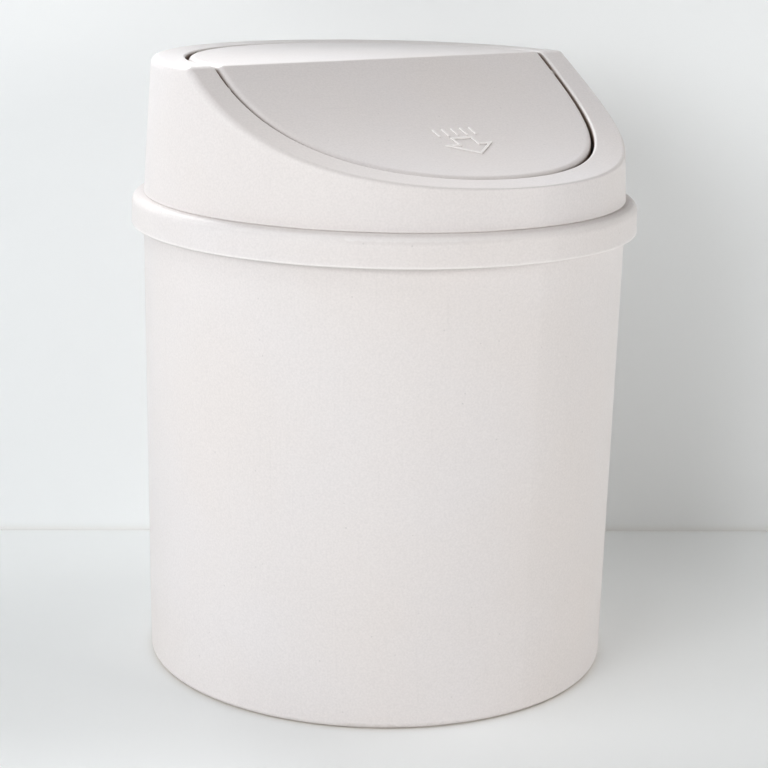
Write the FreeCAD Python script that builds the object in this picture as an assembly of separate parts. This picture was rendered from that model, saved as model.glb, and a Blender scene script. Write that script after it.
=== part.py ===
"""Small round office wastebasket with a swing-flap lid.

Three plastic mouldings: the bucket, the lid hood that plugs into it, and the
flap that swings in the hood on two pins. Millimetres, +Z up, the floor at z = 0,
the axis of the bucket on Z, and the front, where the flap is pushed, towards -Y.
"""
import FreeCAD, Part
import math
import os
from FreeCAD import Vector

os.makedirs("parts", exist_ok=True)

# ---- driving dimensions -------------------------------------------------
WALL = 2.0                    # general wall thickness of all three mouldings
CLEARANCE = 0.4               # radial play between the lid's plug and the bucket

# bucket
RIM_RADIUS = 100.0            # outside of the turned-down rim
RIM_TOP = 189.2               # height of the rim, where the hood sits
RIM_DEPTH = 12.0              # how far the rim is turned down
RIM_LEAN = 0.3                # the rim's outer face leans in by this much at the top
RIM_SHOULDER = 3.5            # round of the rim's upper corner
RIM_LIP = 1.8                 # thickness of the turned-down lip
RIM_EDGE_ROUND = 0.5          # fine round of the lip's lower outer edge
BUCKET_TOP_RADIUS = 95.4      # outside of the wall, projected to the rim's height
BUCKET_BASE_RADIUS = 93.3     # outside of the wall at the floor
BASE_ROUND = 2.5              # outside corner between wall and base
BASE_RECESS = 2.0             # the base stands on a foot ring this high
FOOT_WIDTH = 5.0              # radial width of the foot ring
INSIDE_ROUND = 4.0            # inside corner between wall and base

# hood
HOOD_BASE_RADIUS = 95.2       # outside of the hood where it meets the rim
HOOD_DRAFT = 0.06             # how much the hood's wall leans in, per unit of height
TOP = 241.7                   # flat back half of the top, and overall height
SCOOP_FRONT = 94.5            # how far in front of the axis the scoop reaches the wall
SCOOP_FRONT_Z = 204.1         # height of the scoop there
SCOOP_RADIUS = 190.0          # the scoop's concave arc, from ridge to front
PLUG_DEPTH = 8.0              # the hood's plug reaches this far into the bucket
PLUG_WALL = 1.8
PLUG_TAPER = 0.3              # lead-in of the plug
SHOULDER = 2.0                # thickness of the ledge that rests on the rim
REAR_ROUND = 3.0              # edge round of the flat top at the back
SIDE_ROUND = 2.5              # edge round of the scoop beside the ridge
FRONT_ROUND = 0.8             # edge round of the scoop at the front, nearly sharp
HOOD_RIDGE_ROUND = 5.0        # the ridge between flat top and scoop, on the hood
HOOD_SEAT_ROUND = 0.5         # lower outside corner of the hood, a fine shadow line
MOUTH_RADIUS = 80.2           # the round opening, seen from above
MOUTH_FORWARD = 2.3           # the opening's centre, in front of the axis
COLLAR_WALL = 1.7             # stiffening collar that hangs round the mouth
COLLAR_DEPTH = 7.0
MOUTH_ROUND = 1.0             # round of the mouth's upper edge

# flap
FLAP_GAP = 1.2                # gap between flap and mouth all round
SKIRT_DEPTH = 5.0             # stiffening skirt under the flap's edge
SKIRT_WALL = 1.6
FLAP_ROUND = 2.6              # rounded upper edge of the flap
FLAP_RIDGE_ROUND = 2.0        # the ridge is crisper on the flap than on the hood

# pivot: pins on the flap's ears, snapped into sockets of the hood
PIVOT_FORWARD = 6.0           # pivot axis in front of the bucket's axis
PIVOT_Z = 231.0
PIN_RADIUS = 3.0
PIN_PLAY = 0.06               # radial clearance of the pin in its socket
PIN_REACH = 84.8              # end of each pin, from the middle of the lid
BOSS_RADIUS = 3.7
BOSS_REACH = 79.4             # shoulder of each pin, which keeps the flap centred
EAR_OUTSIDE = 77.4            # outer face of the flap's ears
EAR_THICKNESS = 3.6
EAR_HALF_WIDTH = 5.0
EAR_BELOW = 11.0              # the ear's lever reaches this far below the pivot
EAR_CORNER = 2.5
PIN_CHAMFER = 0.6
RIB_WALL = 1.4
SOCKET_IN_FRONT = 8.0
SOCKET_BEHIND = 12.0
SOCKET_BELOW = 7.0
SOCKET_OUTSIDE = 86.0
SNAP_HALF_SLOT = 2.5          # half width of the slot that the pin snaps through

# stops inside the hood
REST_TAB_ANGLE = 24.0         # the two rest tabs, each side of straight back
REST_TAB_HALF_WIDTH = 6.0
REST_TAB_THICKNESS = 2.0
REST_TAB_REACH = 5.5          # how far a rest tab stands into the mouth
REST_GAP = 0.2                # play between a rest tab and the closed flap
OPEN_TAB_NEAR = 8.0           # an open stop begins this far behind the pivot
OPEN_TAB_FAR = 12.0
OPEN_TAB_RISE = 3.3           # underside of the open stop, above the pivot
OPEN_TAB_THICKNESS = 2.0
OPEN_TAB_INSIDE = 74.0        # inner end of the open stop, from the middle of the lid

# raised arrow on the slope of the flap, and the plain grip bars above it
MARK_HEIGHT = 0.4
MARK_STROKE = 0.8
ARROW_TIP = 58.5              # distances in front of the axis
ARROW_BARB = 51.5
ARROW_TAIL = 46.5
ARROW_HALF_HEAD = 10.0
ARROW_HALF_STEM = 4.6
BAR_FRONT = 44.5
BAR_BACK = 40.0
BAR_COUNT = 5
BAR_PITCH = 4.4

REACH = 130.0                 # half size of the construction blocks
NEAR = 0.02                   # two places closer than this are the same place
UP = Vector(0, 0, 1)
SIDE = Vector(1, 0, 0)


# ---- the top surface ----------------------------------------------------
def scoop_centre():
    """Centre (y, z) of the scoop's arc, through the ridge and the front edge."""
    rise = SCOOP_FRONT_Z - TOP
    chord = math.hypot(SCOOP_FRONT, rise)
    height = math.sqrt(SCOOP_RADIUS ** 2 - chord ** 2 / 4)
    middle_y = -SCOOP_FRONT / 2
    middle_z = TOP + rise / 2
    return middle_y + rise / chord * height, middle_z + SCOOP_FRONT / chord * height


def below_top(drop, ridge_round=0.0):
    """Everything under the top skin, lowered by drop: a flat back half and a scoop.

    The ridge between the two is sharp, or rounded where ridge_round is given.
    """
    centre_y, centre_z = scoop_centre()
    radius = SCOOP_RADIUS + drop
    flat_z = TOP - drop

    def on_arc(y):
        return Vector(0, y, centre_z - math.sqrt(radius ** 2 - (y - centre_y) ** 2))

    # centre of the ridge's round, tangent to the flat and to the scoop
    round_z = flat_z - ridge_round
    round_y = centre_y + math.sqrt((radius + ridge_round) ** 2 - (round_z - centre_z) ** 2)
    flat_end = Vector(0, round_y, flat_z)
    scoop_end = on_arc(centre_y + (round_y - centre_y) * radius / (radius + ridge_round))
    front = on_arc(centre_y)
    scoop_middle = on_arc((centre_y + scoop_end.y) / 2)
    edges = [Part.Arc(front, scoop_middle, scoop_end).toShape()]
    if ridge_round:
        towards = Vector(0, (flat_end + scoop_end).y / 2 - round_y,
                         (flat_end + scoop_end).z / 2 - round_z).normalize()
        crest = Vector(0, round_y, round_z) + towards * ridge_round
        edges.append(Part.Arc(scoop_end, crest, flat_end).toShape())
    corners = [flat_end, Vector(0, REACH, flat_z), Vector(0, REACH, 0),
               Vector(0, -REACH, 0), Vector(0, -REACH, front.z), front]
    outline = Part.Wire(edges + Part.makePolygon(corners).Edges)
    block = Part.Face(outline).extrude(SIDE * (2 * REACH))
    block.translate(-SIDE * REACH)
    return block


def skin(upper_drop, lower_drop):
    """The layer between two levels under the top skin."""
    return below_top(upper_drop).cut(below_top(lower_drop))


# ---- helpers ------------------------------------------------------------
def turned(corners, rounds=()):
    """A solid turned about Z from (radius, z) corners, with some corners rounded."""
    outline = Part.makePolygon([Vector(r, 0, z) for r, z in corners + corners[:1]])
    solid = Part.Face(outline).revolve(Vector(), UP, 360)
    for round_radius, corner_radius, corner_z in rounds:
        solid = solid.makeFillet(round_radius, ring_edges(solid, corner_radius, corner_z))
    solid.rotate(Vector(), UP, -90)
    return solid


def ring_edges(solid, radius, z):
    """The round edges of a turned solid at one corner of its outline."""
    found = []
    for edge in solid.Edges:
        bounds = edge.BoundBox
        level = abs(bounds.ZMin - z) < NEAR and abs(bounds.ZMax - z) < NEAR
        if level and abs(bounds.XMax - radius) < NEAR:
            found.append(edge)
    return found


def column(radius, forward):
    """A tall round column whose axis stands in front of the bucket's axis."""
    solid = Part.makeCylinder(radius, TOP + REACH, Vector(0, 0, -REACH / 2), UP)
    solid.rotate(Vector(), UP, -90)
    solid.translate(Vector(0, -forward, 0))
    return solid


def box(low, high):
    size = Vector(*high) - Vector(*low)
    return Part.makeBox(size.x, size.y, size.z, Vector(*low))


def right_half():
    """A block over everything on the +X side."""
    return box((0, -REACH, 0), (REACH, REACH, TOP + REACH))


def mirrored(solid):
    """A solid and its mirror image on the other side of the lid."""
    return [solid, solid.mirror(Vector(), SIDE)]


def rod(radius, start_x, end_x):
    """A round bar along the pivot axis."""
    start = Vector(start_x, -PIVOT_FORWARD, PIVOT_Z)
    return Part.makeCylinder(radius, end_x - start_x, start, SIDE)


def one_solid(shape):
    """The cleaned result of a build, which has to be a single closed solid."""
    clean = shape.removeSplitter()
    assert len(clean.Solids) == 1 and clean.isValid()
    return clean.Solids[0]


# ---- bucket -------------------------------------------------------------
def wall_radius(z):
    """Outside radius of the bucket's slightly tapered wall."""
    return BUCKET_BASE_RADIUS + (BUCKET_TOP_RADIUS - BUCKET_BASE_RADIUS) * z / RIM_TOP


def make_bucket():
    """Tapered wall, recessed base on a foot ring, and a rim that turns out and down."""
    floor_z = BASE_RECESS + WALL
    rim_bottom = RIM_TOP - RIM_DEPTH
    under_rim = RIM_TOP - RIM_LIP
    foot_inside = BUCKET_BASE_RADIUS - FOOT_WIDTH
    inside_corner = wall_radius(floor_z) - WALL
    body = turned([
        (0, BASE_RECESS),
        (foot_inside - BASE_RECESS, BASE_RECESS),
        (foot_inside, 0),
        (BUCKET_BASE_RADIUS, 0),
        (wall_radius(under_rim), under_rim),
        (RIM_RADIUS - RIM_LIP, under_rim),
        (RIM_RADIUS - RIM_LIP, rim_bottom),
        (RIM_RADIUS, rim_bottom),
        (RIM_RADIUS - RIM_LEAN, RIM_TOP),
        (wall_radius(RIM_TOP) - WALL, RIM_TOP),
        (inside_corner, floor_z),
        (0, floor_z),
    ], rounds=[
        (BASE_ROUND, BUCKET_BASE_RADIUS, 0),
        (RIM_SHOULDER, RIM_RADIUS - RIM_LEAN, RIM_TOP),
        (RIM_EDGE_ROUND, RIM_RADIUS, rim_bottom),
        (INSIDE_ROUND, inside_corner, floor_z),
    ])
    return one_solid(body)


# ---- lid hood -----------------------------------------------------------
def hood_radius(z):
    """Outside radius of the hood's wall, which leans in towards the top."""
    return HOOD_BASE_RADIUS - HOOD_DRAFT * (z - RIM_TOP)


def hood_block(inset, rounds=()):
    """The hood's tapered column from the rim up past the top, set in by inset."""
    above = TOP + WALL
    return turned([
        (0, RIM_TOP),
        (hood_radius(RIM_TOP) - inset, RIM_TOP),
        (hood_radius(above) - inset, above),
        (0, above),
    ], rounds)


def middle_of(edge):
    return edge.valueAt((edge.FirstParameter + edge.LastParameter) / 2)


def outline_edge(half, rear):
    """The long edge where half a hood's wall meets the flat top, or meets the scoop."""
    found = []
    for edge in half.Edges:
        middle = middle_of(edge)
        off_wall = abs(math.hypot(middle.x, middle.y) - hood_radius(middle.z))
        above_seat = middle.z > RIM_TOP + SHOULDER
        if off_wall < WALL / 4 and above_seat and (middle.y > 0) == rear:
            found.append(edge)
    return max(found, key=lambda edge: edge.Length)


def hood_outside():
    """The hood as a solid block. Its outline is soft at the back and beside the
    ridge, and grows nearly sharp towards the front."""
    seat = [(HOOD_SEAT_ROUND, hood_radius(RIM_TOP), RIM_TOP)]
    block = hood_block(0, seat).common(below_top(0))
    half = block.common(right_half())
    side = outline_edge(half, rear=False)
    rises = side.valueAt(side.FirstParameter).z < side.valueAt(side.LastParameter).z
    radii = (FRONT_ROUND, SIDE_ROUND) if rises else (SIDE_ROUND, FRONT_ROUND)
    half = half.makeFillet(*radii, [side])
    half = half.makeFillet(REAR_ROUND, [outline_edge(half, rear=True)])
    whole = half.fuse(half.mirror(Vector(), SIDE)).removeSplitter()
    return whole.common(below_top(0, HOOD_RIDGE_ROUND))


def make_plug():
    """Ledge that rests on the rim, and the ring below it that fits in the bucket."""
    outer = wall_radius(RIM_TOP) - WALL - CLEARANCE
    inner = outer - PLUG_WALL
    return turned([
        (inner, RIM_TOP - PLUG_DEPTH),
        (outer - PLUG_TAPER, RIM_TOP - PLUG_DEPTH),
        (outer, RIM_TOP),
        (hood_radius(RIM_TOP) - WALL / 2, RIM_TOP),
        (hood_radius(RIM_TOP + SHOULDER) - WALL / 2, RIM_TOP + SHOULDER),
        (inner, RIM_TOP + SHOULDER),
    ])


def make_collar():
    """Stiffening wall that hangs from the edge of the mouth."""
    ring = column(MOUTH_RADIUS + COLLAR_WALL, MOUTH_FORWARD)
    return ring.common(skin(WALL / 2, COLLAR_DEPTH))


def make_sockets():
    """The blocks beside the mouth that hold the flap's pins."""
    low = (MOUTH_RADIUS - WALL, -PIVOT_FORWARD - SOCKET_IN_FRONT, PIVOT_Z - SOCKET_BELOW)
    high = (SOCKET_OUTSIDE, -PIVOT_FORWARD + SOCKET_BEHIND, TOP)
    return mirrored(box(low, high).common(below_top(WALL / 2)))


def make_rest_tabs():
    """Two small tabs at the back of the mouth that the closed flap rests on."""
    top_z = TOP - SKIRT_DEPTH - REST_GAP
    low = (-REST_TAB_HALF_WIDTH, MOUTH_RADIUS - REST_TAB_REACH, top_z - REST_TAB_THICKNESS)
    high = (REST_TAB_HALF_WIDTH, MOUTH_RADIUS + COLLAR_WALL / 2, top_z)
    tabs = []
    for angle in (-REST_TAB_ANGLE, REST_TAB_ANGLE):
        tab = box(low, high)
        tab.rotate(Vector(), UP, angle)
        tab.translate(Vector(0, -MOUTH_FORWARD, 0))
        tabs.append(tab)
    return tabs


def make_open_stops():
    """A tab beside each socket that the ear's lever meets when the flap is open."""
    low = (OPEN_TAB_INSIDE, OPEN_TAB_NEAR - PIVOT_FORWARD, PIVOT_Z + OPEN_TAB_RISE)
    high = (MOUTH_RADIUS + COLLAR_WALL / 2, OPEN_TAB_FAR - PIVOT_FORWARD,
            PIVOT_Z + OPEN_TAB_RISE + OPEN_TAB_THICKNESS)
    return mirrored(box(low, high))


def make_socket_holes():
    """Bores for the pins, each open below through a slot that the pin snaps past."""
    bore = rod(PIN_RADIUS + PIN_PLAY, EAR_OUTSIDE, SOCKET_OUTSIDE + WALL)
    low = (EAR_OUTSIDE, -PIVOT_FORWARD - SNAP_HALF_SLOT, PIVOT_Z - 2 * SOCKET_BELOW)
    high = (SOCKET_OUTSIDE + WALL, -PIVOT_FORWARD + SNAP_HALF_SLOT, PIVOT_Z)
    return mirrored(bore.fuse(box(low, high)))


def top_edges(solid, radius, ridge_round):
    """Edges where a round column in the mouth meets the top skin."""
    under_skin = below_top(NEAR, ridge_round)
    found = []
    for edge in solid.Edges:
        middle = middle_of(edge)
        off_column = abs(math.hypot(middle.x, middle.y + MOUTH_FORWARD) - radius)
        if off_column < NEAR and not under_skin.isInside(middle, NEAR / 10, False):
            found.append(edge)
    return found


def make_hood():
    """Wall and top, open below, with a round mouth that the flap closes."""
    hollow = hood_block(WALL).common(below_top(WALL))
    hood = hood_outside().cut(hollow)
    hood = hood.fuse([make_plug(), make_collar()] + make_sockets())
    hood = hood.cut([column(MOUTH_RADIUS, MOUTH_FORWARD)] + make_socket_holes())
    hood = hood.makeFillet(MOUTH_ROUND, top_edges(hood, MOUTH_RADIUS, HOOD_RIDGE_ROUND))
    hood = hood.fuse(make_rest_tabs() + make_open_stops())
    return one_solid(hood)


# ---- flap ---------------------------------------------------------------
def flap_plate():
    """The flap's skin with its rounded edge, and the skirt that stiffens it."""
    radius = MOUTH_RADIUS - FLAP_GAP
    block = column(radius, MOUTH_FORWARD).common(below_top(0, FLAP_RIDGE_ROUND))
    half = block.cut(below_top(SKIRT_DEPTH)).common(right_half())
    half = half.makeFillet(FLAP_ROUND, top_edges(half, radius, FLAP_RIDGE_ROUND))
    whole = half.fuse(half.mirror(Vector(), SIDE)).removeSplitter()
    inside = column(radius - SKIRT_WALL, MOUTH_FORWARD).common(below_top(WALL))
    return whole.cut(inside)


def make_ear():
    """The plate under one side of the flap that carries its pin, and its lever."""
    low = (EAR_OUTSIDE - EAR_THICKNESS, -PIVOT_FORWARD - EAR_HALF_WIDTH, PIVOT_Z - EAR_BELOW)
    high = (EAR_OUTSIDE, -PIVOT_FORWARD + EAR_HALF_WIDTH, TOP)
    plate = box(low, high)
    corners = [edge for edge in plate.Edges
               if edge.BoundBox.ZMax < PIVOT_Z and edge.BoundBox.YLength < NEAR]
    plate = plate.makeFillet(EAR_CORNER, corners).common(below_top(WALL / 2))
    boss = rod(BOSS_RADIUS, EAR_OUTSIDE - WALL, BOSS_REACH)
    pin = rod(PIN_RADIUS, EAR_OUTSIDE - WALL, PIN_REACH)
    tip = [edge for edge in pin.Edges if edge.BoundBox.XMin > PIN_REACH - NEAR]
    pin = pin.makeChamfer(PIN_CHAMFER, tip)
    return plate.fuse([boss, pin])


def make_ribs():
    """A rib between the ears, and one from front to back, under the flap."""
    half = RIB_WALL / 2
    end_x = EAR_OUTSIDE - EAR_THICKNESS / 2
    across = box((-end_x, -PIVOT_FORWARD - half, PIVOT_Z), (end_x, -PIVOT_FORWARD + half, TOP))
    across = across.common(below_top(WALL / 2))
    reach = MOUTH_RADIUS - FLAP_GAP - SKIRT_WALL / 2
    along = box((-half, -MOUTH_FORWARD - reach, 0), (half, -MOUTH_FORWARD + reach, TOP))
    along = along.common(skin(WALL / 2, SKIRT_DEPTH))
    return [across, along]


def plan_prism(points):
    """A tall prism over a closed outline given as (x, distance in front) points."""
    corners = [Vector(x, -front, 0) for x, front in points + points[:1]]
    return Part.Face(Part.makePolygon(corners)).extrude(UP * REACH * 2)


def arrow_outline(grow):
    """Corners of a plain block arrow that points to the front, grown by a margin."""
    head = ARROW_TIP - ARROW_BARB
    slant = math.hypot(head, ARROW_HALF_HEAD)
    tip = ARROW_TIP + grow * slant / ARROW_HALF_HEAD
    barb = ARROW_BARB - grow
    half_head = (tip - barb) * ARROW_HALF_HEAD / head
    half_stem = ARROW_HALF_STEM + grow
    right = [(half_stem, ARROW_TAIL - grow), (half_stem, barb), (half_head, barb)]
    left = [(-x, front) for x, front in reversed(right)]
    return right + [(0, tip)] + left


def make_mark():
    """Raised arrow, drawn as an outline, and the plain grip bars behind it."""
    arrow = plan_prism(arrow_outline(MARK_STROKE / 2))
    arrow = arrow.cut(plan_prism(arrow_outline(-MARK_STROKE / 2)))
    marks = [arrow]
    for index in range(BAR_COUNT):
        x = (index - (BAR_COUNT - 1) / 2) * BAR_PITCH
        half = MARK_STROKE / 2
        marks.append(plan_prism([(x - half, BAR_BACK), (x + half, BAR_BACK),
                                 (x + half, BAR_FRONT), (x - half, BAR_FRONT)]))
    layer = skin(-MARK_HEIGHT, WALL / 2)
    return [mark.common(layer) for mark in marks]


def make_flap():
    """The swinging flap: one moulding with its skirt, ribs, ears and pins."""
    ears = mirrored(make_ear())
    flap = flap_plate().fuse(ears + make_ribs() + make_mark())
    return one_solid(flap)


# ---- files --------------------------------------------------------------
for node, shape in (("bucket", make_bucket()), ("lid_hood", make_hood()),
                    ("swing_flap", make_flap())):
    shape.exportStep("parts/" + node + ".step")
    centre = shape.CenterOfMass
    print(node, "volume %.0f mm3" % shape.Volume,
          "centre of mass (%.1f, %.1f, %.1f)" % (centre.x, centre.y, centre.z))
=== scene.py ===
"""Looks of the small round wastebasket with a swing flap, around its CAD frame."""
import bpy
import math
from mathutils import Matrix, Vector


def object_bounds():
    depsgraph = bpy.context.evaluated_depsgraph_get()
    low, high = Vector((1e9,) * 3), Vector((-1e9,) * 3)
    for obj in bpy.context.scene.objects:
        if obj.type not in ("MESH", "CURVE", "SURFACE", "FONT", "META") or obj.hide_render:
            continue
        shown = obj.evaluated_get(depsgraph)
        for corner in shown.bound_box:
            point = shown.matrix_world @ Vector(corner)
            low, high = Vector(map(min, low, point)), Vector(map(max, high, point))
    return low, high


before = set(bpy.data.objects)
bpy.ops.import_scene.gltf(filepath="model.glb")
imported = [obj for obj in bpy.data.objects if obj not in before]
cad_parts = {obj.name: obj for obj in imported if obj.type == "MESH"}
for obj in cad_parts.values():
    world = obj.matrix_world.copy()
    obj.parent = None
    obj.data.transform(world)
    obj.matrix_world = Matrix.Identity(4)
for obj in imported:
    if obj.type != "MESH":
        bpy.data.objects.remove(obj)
cad_low, cad_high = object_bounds()

# ---- driving values, in metres and degrees ------------------------------
RIM_RADIUS = (cad_high.x - cad_low.x) / 2
TOP = cad_high.z

# camera, measured in rim radii from the axis of the basket
CAMERA_TURN = 37.455          # how far the camera stands to the left of the front
CAMERA_AWAY = 7.819
CAMERA_HEIGHT = 3.105
CAMERA_PAN = 0.10
CAMERA_DOWN = 14.364
CAMERA_ROLL = 1.318
LENS = 92.84                  # for a 36 mm sensor

# floor and wall behind
WALL_BEHIND = 0.1416          # from the axis, along the camera's heading
WALL_TURN = 3.768
WALL_HEIGHT = 0.34
STAGE_SIZE = 4.0
LIGHT_AWAY = 2.4              # the lights stand this far from the basket
COOL = (0.965, 0.98, 1.0)
WARM = (1.0, 0.975, 0.955)
UP = Vector((0, 0, 1))

# the plastic: textures in grains per metre, lengths in metres
OFF_WHITE = (0.795, 0.757, 0.748)
# painted shade: a dark brown laid deep in the gap round the flap
GAP_SHADE = (0.20, 0.14, 0.10)
# painted highlight: a pale line laid along sharp outer edges
EDGE_HIGHLIGHT = (0.98, 0.95, 0.93)
GAP_SHADE_FROM = 0.197            # only the gap round the flap gets painted shade, not the seam or the foot
GAP_SHADE_REACH = 0.006
EDGE_REACH = 0.0014
CLOUDS = 11.0
GRAIN = 1300.0
SCUFF_ALONG = 25.0
SCUFF_ACROSS = 900.0
FLECKS = 150.0
FLECK_RADIUS = 0.00045
FLECK_SHARE = 0.5             # this share of the possible places holds a fleck
FLECK_DARK = 0.15
SCUFF_DARK = 0.018
SCUFF_ROUGH = 0.08
SHINE = 0.28
FINE_BUMP = 0.000018
BROAD_BUMP = 0.00016

# the stage
FLOOR_PAINT = (0.925, 0.94, 0.935)
WALL_PAINT = (0.912, 0.927, 0.925)
CONTACT = (0.74, 0.71, 0.66)  # the floor's shade close under the basket
CONTACT_REACH = 0.008


def aimed_from(height, away, turn):
    """A place on a circle round the basket; turn 0 is straight in front."""
    angle = math.radians(turn)
    return Vector((-math.sin(angle) * away, -math.cos(angle) * away, height))


# ---- materials ----------------------------------------------------------
class Paint:
    """A new material with its shader, and short ways to add textures to it."""

    def __init__(self, name):
        self.material = bpy.data.materials.new(name)
        self.material.use_nodes = True
        self.nodes = self.material.node_tree.nodes
        self.links = self.material.node_tree.links
        self.shader = self.nodes["Principled BSDF"]
        self.place = self.add("ShaderNodeTexCoord").outputs["Object"]

    def add(self, kind, **inputs):
        node = self.nodes.new(kind)
        for name, value in inputs.items():
            self.set(node, name.replace("_", " ").title(), value)
        return node

    def set(self, node, name, value):
        if isinstance(value, bpy.types.NodeSocket):
            self.links.new(value, node.inputs[name])
        else:
            node.inputs[name].default_value = value

    def noise(self, per_metre, detail, place=None):
        """Noise whose grains are about 1 / per_metre across, from 0 to 1."""
        node = self.add("ShaderNodeTexNoise", scale=per_metre, detail=detail)
        self.set(node, "Vector", place or self.place)
        return node.outputs["Fac"]

    def remap(self, value, low, high, to_low, to_high):
        node = self.add("ShaderNodeMapRange", value=value, from_min=low, from_max=high,
                        to_min=to_low, to_max=to_high)
        return node.outputs["Result"]

    def math(self, operation, first, second):
        node = self.nodes.new("ShaderNodeMath")
        node.operation = operation
        for index, value in enumerate((first, second)):
            self.set(node, index, value)
        return node.outputs["Value"]

    def flecks(self, per_metre, radius, share):
        """1 on small round flecks, each in a random place, 0 between them."""
        cells = self.add("ShaderNodeTexVoronoi", vector=self.place, scale=per_metre)
        size = radius * per_metre
        dots = self.remap(cells.outputs["Distance"], size, size * 0.4, 0, 1)
        chance = self.add("ShaderNodeSeparateColor", color=cells.outputs["Color"])
        chosen = self.math("LESS_THAN", chance.outputs["Red"], share)
        return self.math("MULTIPLY", dots, chosen)

    def scuffs(self, along, across):
        """1 on faint thin scratches that run along one way, 0 between them."""
        stretched = self.add("ShaderNodeMapping", vector=self.place,
                             scale=(along, across, along), rotation=(0.2, 0.1, 0.5))
        lines = self.noise(1.0, 2.0, stretched.outputs["Vector"])
        return self.remap(lines, 0.66, 0.74, 0, 1)

    def color(self, first, second, blend, shade):
        """Drift between two colours by blend, with each place darkened by shade."""
        mix = self.nodes.new("ShaderNodeMix")
        mix.data_type = "RGBA"
        mix.inputs[6].default_value = (*first, 1)
        mix.inputs[7].default_value = (*second, 1)
        self.links.new(blend, mix.inputs[0])
        shaded = self.nodes.new("ShaderNodeVectorMath")
        shaded.operation = "SCALE"
        self.links.new(mix.outputs[2], shaded.inputs[0])
        self.links.new(shade, shaded.inputs["Scale"])
        self.links.new(shaded.outputs["Vector"], self.shader.inputs["Base Color"])

    def open_to(self, reach, low, high, inside=False):
        """0 deep in a gap, 1 on open surfaces; felt from inside, 0 on sharp outer edges."""
        shade = self.add("ShaderNodeAmbientOcclusion", distance=reach)
        shade.samples = 8
        shade.inside = inside
        result = self.remap(shade.outputs["AO"], low, high, 0, 1)
        result.node.interpolation_type = "SMOOTHSTEP"
        return result

    def under(self, height):
        """1 below a height of the part, 0 above it."""
        parts = self.add("ShaderNodeSeparateXYZ", vector=self.place)
        return self.math("LESS_THAN", parts.outputs["Z"], height)

    def lay(self, color, blend):
        """Lays another colour over the base colour, fully where blend is 0."""
        mix = self.nodes.new("ShaderNodeMix")
        mix.data_type = "RGBA"
        mix.inputs[6].default_value = (*color, 1)
        base = self.shader.inputs["Base Color"]
        self.links.new(base.links[0].from_socket, mix.inputs[7])
        self.links.new(blend, mix.inputs[0])
        self.links.new(mix.outputs[2], base)

    def bump(self, height):
        """Height in metres."""
        node = self.add("ShaderNodeBump", height=height, distance=1.0, strength=1.0)
        self.links.new(node.outputs["Normal"], self.shader.inputs["Normal"])


def plastic(name, color, offset):
    """Matte moulded polypropylene: grain, clouds, specks, scuffs, painted shade in the gap round
    the flap, painted highlight on sharp edges.
    """
    paint = Paint(name)
    below = paint.under(GAP_SHADE_FROM)
    moved = paint.add("ShaderNodeVectorMath")
    paint.set(moved, 0, paint.place)
    paint.set(moved, 1, offset)
    paint.place = moved.outputs["Vector"]
    clouds = paint.noise(CLOUDS, 3.0)
    grain = paint.noise(GRAIN, 2.0)
    scuffs = paint.scuffs(SCUFF_ALONG, SCUFF_ACROSS)
    flecks = paint.flecks(FLECKS, FLECK_RADIUS, FLECK_SHARE)
    warmer = (color[0], color[1] * 0.985, color[2] * 0.965)
    shade = paint.remap(grain, 0.3, 0.7, 0.965, 1.035)
    shade = paint.math("SUBTRACT", shade, paint.math("MULTIPLY", flecks, FLECK_DARK))
    shade = paint.math("SUBTRACT", shade, paint.math("MULTIPLY", scuffs, SCUFF_DARK))
    paint.color(color, warmer, paint.remap(clouds, 0.35, 0.65, 0, 1), shade)
    # painted shade laid deep in the gap round the flap, high on the part only; the shine is
    # lowered there too
    unshaded = paint.math("MAXIMUM", below, paint.open_to(GAP_SHADE_REACH, 0.18, 0.82))
    paint.lay(GAP_SHADE, unshaded)
    # painted highlight: a pale line on sharp outer edges, found by occlusion felt from inside the
    # part
    paint.lay(EDGE_HIGHLIGHT, paint.open_to(EDGE_REACH, 0.50, 0.95, inside=True))
    rough = paint.remap(paint.noise(45.0, 3.0), 0.3, 0.7, 0.38, 0.46)
    rougher = paint.math("MULTIPLY", scuffs, SCUFF_ROUGH)
    paint.set(paint.shader, "Roughness", paint.math("ADD", rough, rougher))
    paint.set(paint.shader, "Specular IOR Level", paint.math("MULTIPLY", unshaded, SHINE))
    fine = paint.math("MULTIPLY", paint.noise(1500.0, 2.0), FINE_BUMP)
    broad = paint.math("MULTIPLY", paint.noise(38.0, 1.0), BROAD_BUMP)
    paint.bump(paint.math("ADD", fine, broad))
    return paint.material


def matte_paint(name, color, roughness):
    """Smooth pale paint for the stage, with painted shade a little darker where the basket stands
    on it and where floor meets wall.
    """
    paint = Paint(name)
    darker = [channel * 0.985 for channel in color]
    clouds = paint.remap(paint.noise(3.0, 2.0), 0.35, 0.65, 0, 1)
    grain = paint.remap(paint.noise(1800.0, 1.0), 0.3, 0.7, 0.992, 1.008)
    paint.color(color, darker, clouds, grain)
    # painted shade close under the basket and where floor meets wall
    paint.lay(CONTACT, paint.open_to(CONTACT_REACH, 0.10, 0.80))
    paint.shader.inputs["Roughness"].default_value = roughness
    return paint


def one_sided(paint):
    """Lets a view from behind look through, so the backdrop never hides the object."""
    seen = paint.nodes.new("ShaderNodeMixShader")
    behind = paint.nodes.new("ShaderNodeNewGeometry")
    clear = paint.nodes.new("ShaderNodeBsdfTransparent")
    paint.links.new(behind.outputs["Backfacing"], seen.inputs["Fac"])
    paint.links.new(paint.shader.outputs["BSDF"], seen.inputs[1])
    paint.links.new(clear.outputs["BSDF"], seen.inputs[2])
    paint.links.new(seen.outputs["Shader"], paint.nodes["Material Output"].inputs["Surface"])


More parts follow.
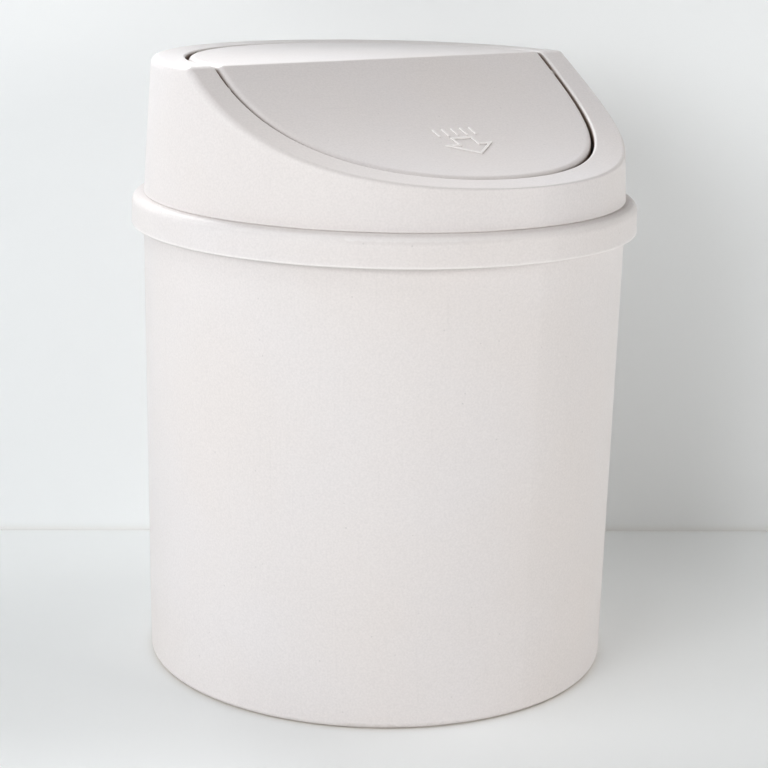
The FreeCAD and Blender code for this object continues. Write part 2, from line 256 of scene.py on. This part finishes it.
SLOTS = {"bucket": "bucket_plastic", "lid_hood": "hood_plastic", "swing_flap": "flap_plastic"}
for index, (name, slot) in enumerate(SLOTS.items()):
    made = plastic(slot, OFF_WHITE, (0.31 * index, 0.17 * index, 0.53 * index))
    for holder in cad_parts[name].material_slots:
        holder.link = "OBJECT"
        holder.material = made


# ---- stage --------------------------------------------------------------
def make_plane(name, matrix, width, depth):
    """A flat sheet of the stage; its near edge is centred on the matrix's origin."""
    mesh = bpy.data.meshes.new(name)
    half = width / 2
    corners = [(-half, 0, 0), (half, 0, 0), (half, depth, 0), (-half, depth, 0)]
    mesh.from_pydata(corners, [], [(0, 1, 2, 3)])
    made = bpy.data.objects.new(name, mesh)
    made.matrix_world = matrix
    bpy.context.scene.collection.objects.link(made)
    return made


heading = math.radians(CAMERA_TURN + CAMERA_PAN)
floor = make_plane("floor", Matrix.Translation((0, -STAGE_SIZE / 2, 0)), STAGE_SIZE, STAGE_SIZE)
floor.data.materials.append(matte_paint("floor_paint", FLOOR_PAINT, 0.5).material)
wall_place = Matrix.Rotation(-heading, 4, "Z") @ Matrix.Translation((0, WALL_BEHIND, 0)) \
    @ Matrix.Rotation(math.radians(WALL_TURN), 4, "Z") @ Matrix.Rotation(math.radians(90), 4, "X")
wall = make_plane("backdrop", wall_place, STAGE_SIZE, WALL_HEIGHT)
wall_paint = matte_paint("wall_paint", WALL_PAINT, 0.7)
one_sided(wall_paint)
wall.data.materials.append(wall_paint.material)


def area_light(name, turn, rise, size, power, color=(1, 1, 1)):
    """A round soft light that looks at the middle of the basket."""
    away = Vector((-math.sin(math.radians(turn)), -math.cos(math.radians(turn)), 0))
    towards = away * math.cos(math.radians(rise)) + UP * math.sin(math.radians(rise))
    light = bpy.data.lights.new(name, "AREA")
    light.shape = "DISK"
    light.size = size
    light.energy = power
    light.color = color
    made = bpy.data.objects.new(name, light)
    made.location = UP * TOP / 2 + towards * LIGHT_AWAY
    made.rotation_euler = (-towards).to_track_quat("-Z", "Y").to_euler()
    made.visible_camera = False
    bpy.context.scene.collection.objects.link(made)
    return made


def receivers(name, thing, state):
    """A collection for light linking: only this thing is lit, or all but this thing."""
    made = bpy.data.collections.new(name)
    made.objects.link(thing)
    made.collection_objects[0].light_linking.link_state = state
    return made


area_light("window_light", turn=70, rise=18, size=1.35, power=26.3, color=COOL)
area_light("side_light", turn=112, rise=20, size=1.35, power=6.1, color=COOL)
area_light("high_light", turn=95, rise=55, size=1.35, power=13.7, color=COOL)
right_light = area_light("right_light", turn=-30, rise=10, size=1.05, power=21.5, color=WARM)
area_light("back_light", turn=190, rise=40, size=1.35, power=70.0, color=COOL)
floor_light = area_light("floor_light", turn=-70, rise=50, size=1.35, power=12.0)
wall_fill = area_light("wall_fill", turn=-30, rise=10, size=1.05, power=17.2, color=WARM)
wall_key = area_light("wall_key", turn=95, rise=55, size=1.35, power=6.0, color=COOL)
lit_floor = receivers("lit_floor", floor, "INCLUDE")
lit_wall = receivers("lit_wall", wall, "INCLUDE")
floor_light.light_linking.receiver_collection = lit_floor
wall_fill.light_linking.receiver_collection = lit_wall
wall_key.light_linking.receiver_collection = lit_wall
right_light.light_linking.receiver_collection = receivers("all_but_wall", wall, "EXCLUDE")

world = bpy.data.worlds.new("studio")
world.use_nodes = True
world.node_tree.nodes["Background"].inputs["Color"].default_value = (1, 1, 1, 1)
world.node_tree.nodes["Background"].inputs["Strength"].default_value = 0.026
bpy.context.scene.world = world

# ---- camera -------------------------------------------------------------
camera = bpy.data.objects.new("camera", bpy.data.cameras.new("camera"))
camera.data.sensor_width = 36
camera.data.lens = LENS
camera.data.clip_start = 0.05
turn = Matrix.Rotation(-heading, 4, "Z")
tilt = Matrix.Rotation(math.radians(90 - CAMERA_DOWN), 4, "X")
roll = Matrix.Rotation(math.radians(CAMERA_ROLL), 4, "Z")
place = aimed_from(CAMERA_HEIGHT * RIM_RADIUS, CAMERA_AWAY * RIM_RADIUS, CAMERA_TURN)
camera.matrix_world = Matrix.Translation(place) @ turn @ tilt @ roll
bpy.context.scene.collection.objects.link(camera)
bpy.context.scene.camera = camera
bpy.context.scene.view_settings.view_transform = "Standard"
